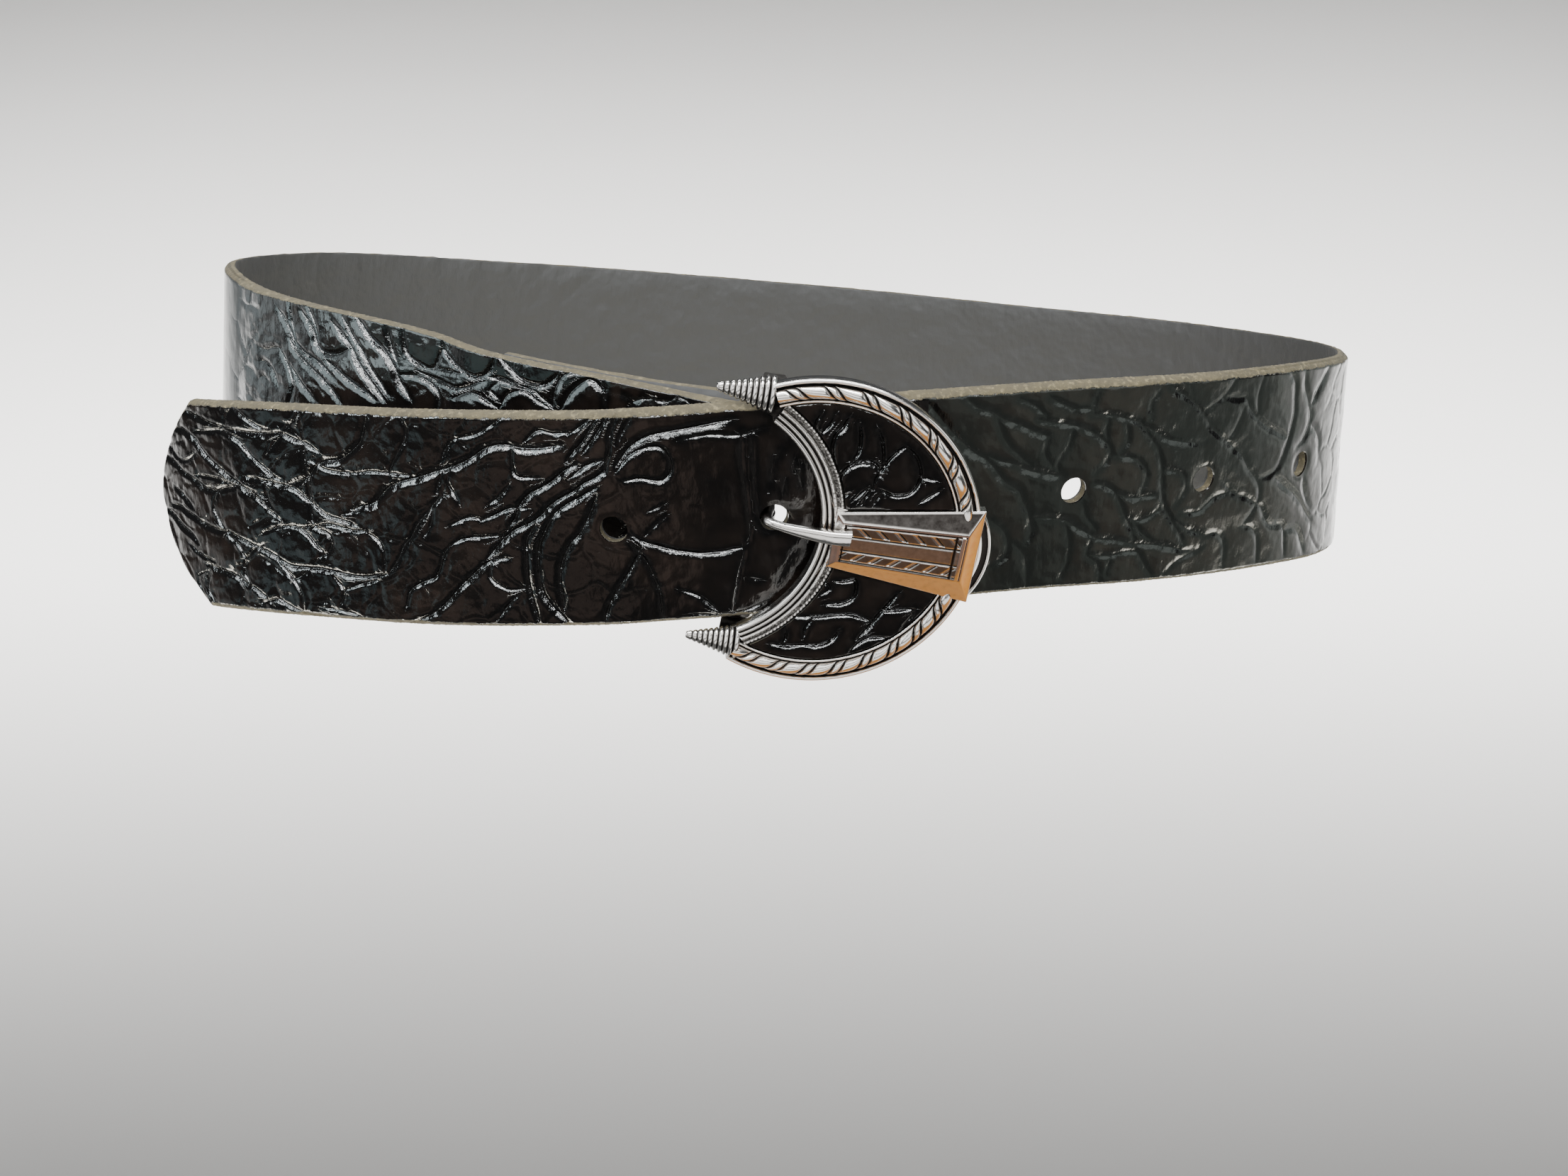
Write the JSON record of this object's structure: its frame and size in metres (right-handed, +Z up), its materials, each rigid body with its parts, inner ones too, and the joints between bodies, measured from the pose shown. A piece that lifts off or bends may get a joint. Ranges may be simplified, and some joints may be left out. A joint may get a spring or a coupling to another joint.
{
  "type": "embossed leather belt",
  "caption": "Fastened black croc-embossed leather belt in its worn loop, with a silver crescent buckle, rope edge, leather inlays, a fixed prong and a free rounded tail.",
  "frame": {"origin": "middle of the waist that the belt goes round, halfway between its front and back and level with the middle of its front", "axes": "+Z up along the waist, +X to the wearer's left (the far end of the buckle), -Y out of the front where the buckle is"},
  "size_m": [0.2954, 0.2166, 0.0857],
  "materials": {
    "strap_leather": "glossy black, croc embossed, with raw pale edges",
    "buckle_metal": "polished antique silver with blackened recesses",
    "inlay_leather": "glossy black, croc embossed",
    "prong_metal": "polished silver",
    "rivet_metal": "dull steel"
  },
  "bodies": {
    "root": {"strap": "strap_leather", "buckle_frame": "buckle_metal", "inlay_upper": "inlay_leather", "inlay_lower": "inlay_leather", "prong": "prong_metal", "fold_rivet": "rivet_metal"}
  },
  "joints": []
}
